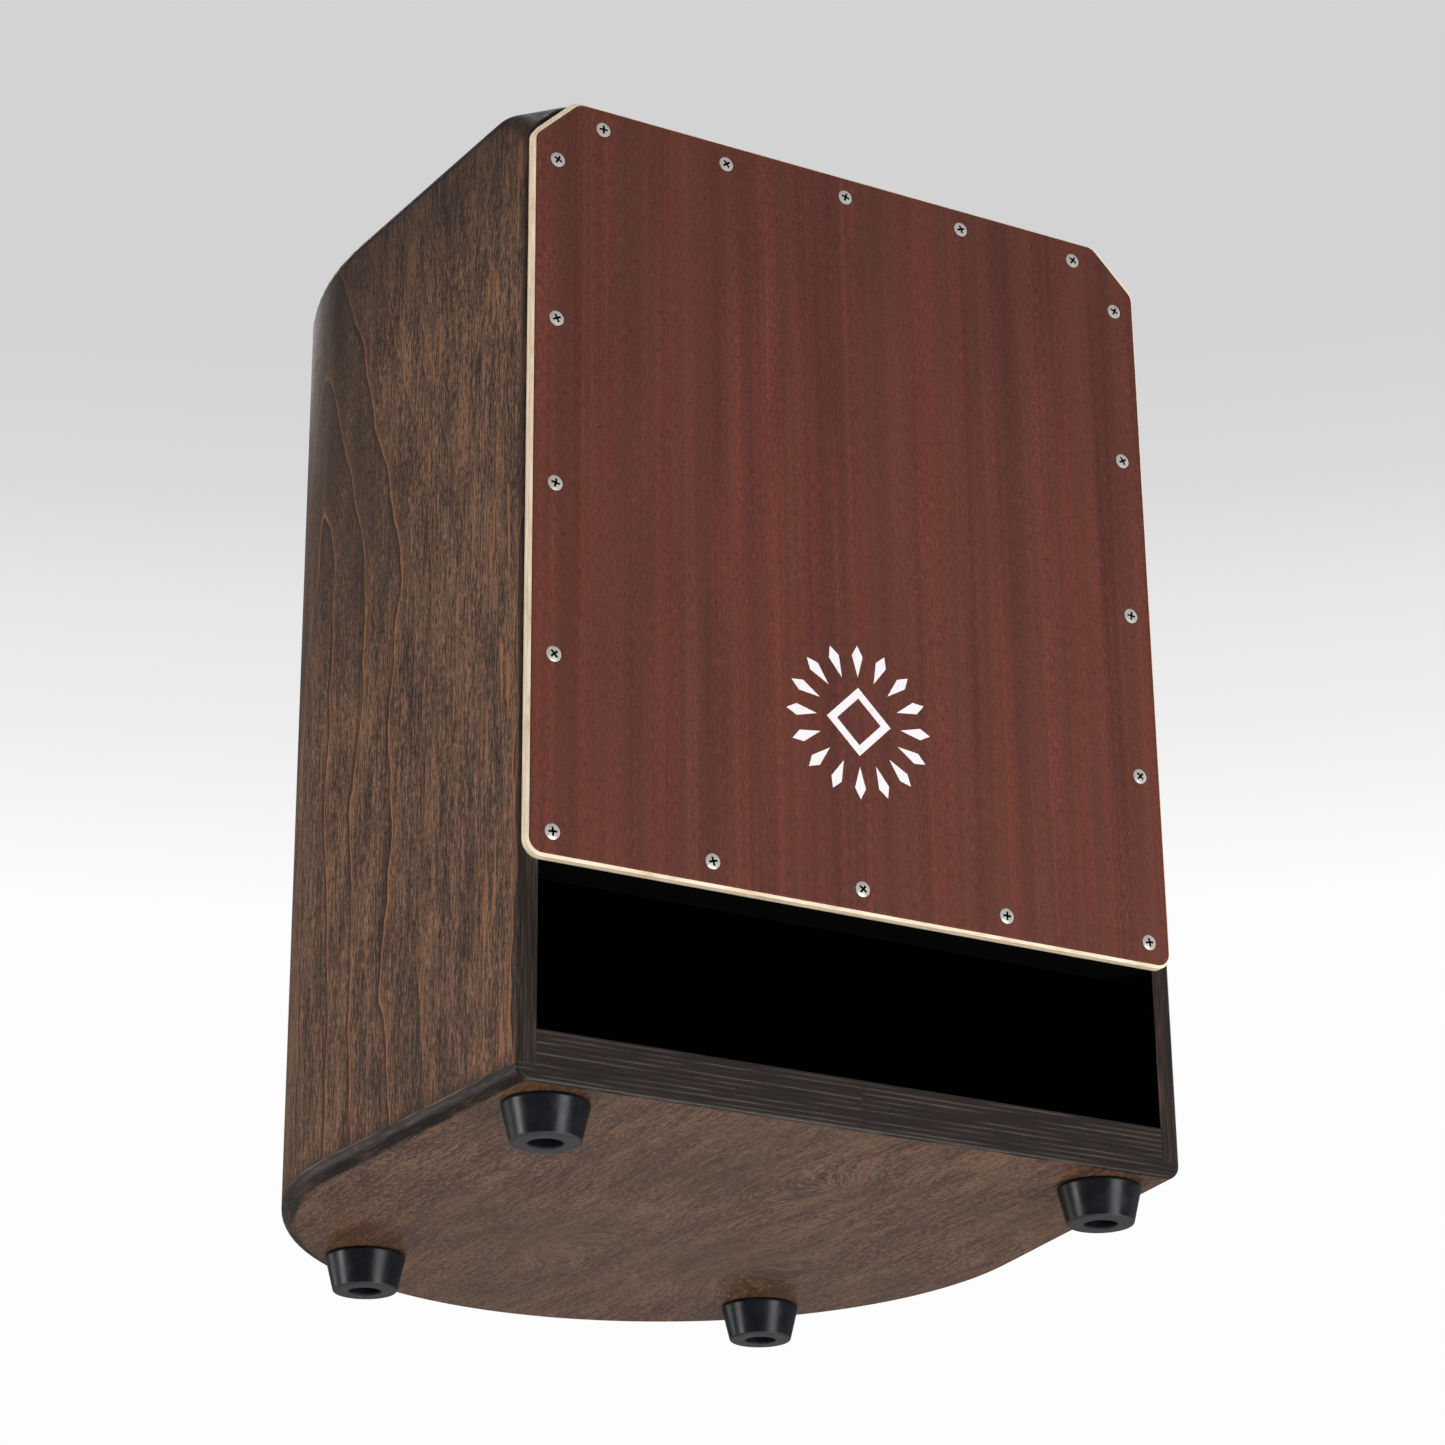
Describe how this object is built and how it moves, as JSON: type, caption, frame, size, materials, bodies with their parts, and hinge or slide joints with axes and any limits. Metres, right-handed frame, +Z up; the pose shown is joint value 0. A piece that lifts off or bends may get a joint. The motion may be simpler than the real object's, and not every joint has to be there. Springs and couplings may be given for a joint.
{
  "type": "cajon",
  "caption": "Box drum with a bent back, a screwed-on playing front over a slot-shaped sound port, clipped top corners and rubber feet.",
  "frame": {"origin": "on the ground under the middle of the bounding box", "axes": "+Z up, -Y towards the listener (the tapa faces -Y, the round back is at +Y), +X to the right seen from the front"},
  "size_m": [0.348, 0.3503, 0.473],
  "materials": {
    "stained_birch": "walnut-stained birch plywood under satin lacquer, matt black inside",
    "sapele_veneer": "ribbon-striped sapele veneer under satin lacquer",
    "birch_ply": "unstained birch plywood, lacquered edges",
    "frame_wood": "solid softwood battens painted matt black",
    "snare_wood": "plain beech",
    "foot_rubber": "black moulded rubber, satin",
    "screw_steel": "nickel-plated steel",
    "zinc_steel": "zinc-plated steel",
    "white_print": "white screen print"
  },
  "bodies": {
    "root": {"body_shell": "stained_birch", "seat_panel": "stained_birch", "floor_panel": "stained_birch", "tapa_core": "birch_ply", "tapa_face_veneer": "sapele_veneer", "front_emblem": "white_print", "lower_tapa_rail": "frame_wood", "left_tapa_batten": "frame_wood", "right_tapa_batten": "frame_wood", "foot_front_left": "foot_rubber", "foot_front_right": "foot_rubber", "foot_back_left": "foot_rubber", "foot_back_right": "foot_rubber", "foot_screws": "zinc_steel", "foot_washers": "zinc_steel", "tapa_screws_top": "screw_steel", "tapa_screws_left": "screw_steel", "tapa_screws_right": "screw_steel", "tapa_screws_bottom": "screw_steel", "snare_bar": "snare_wood", "snare_bar_screws": "zinc_steel", "snare_plate_left": "zinc_steel", "snare_plate_right": "zinc_steel", "snare_plate_screws": "zinc_steel", "snare_strands_left": "zinc_steel", "snare_strands_right": "zinc_steel"}
  },
  "joints": []
}
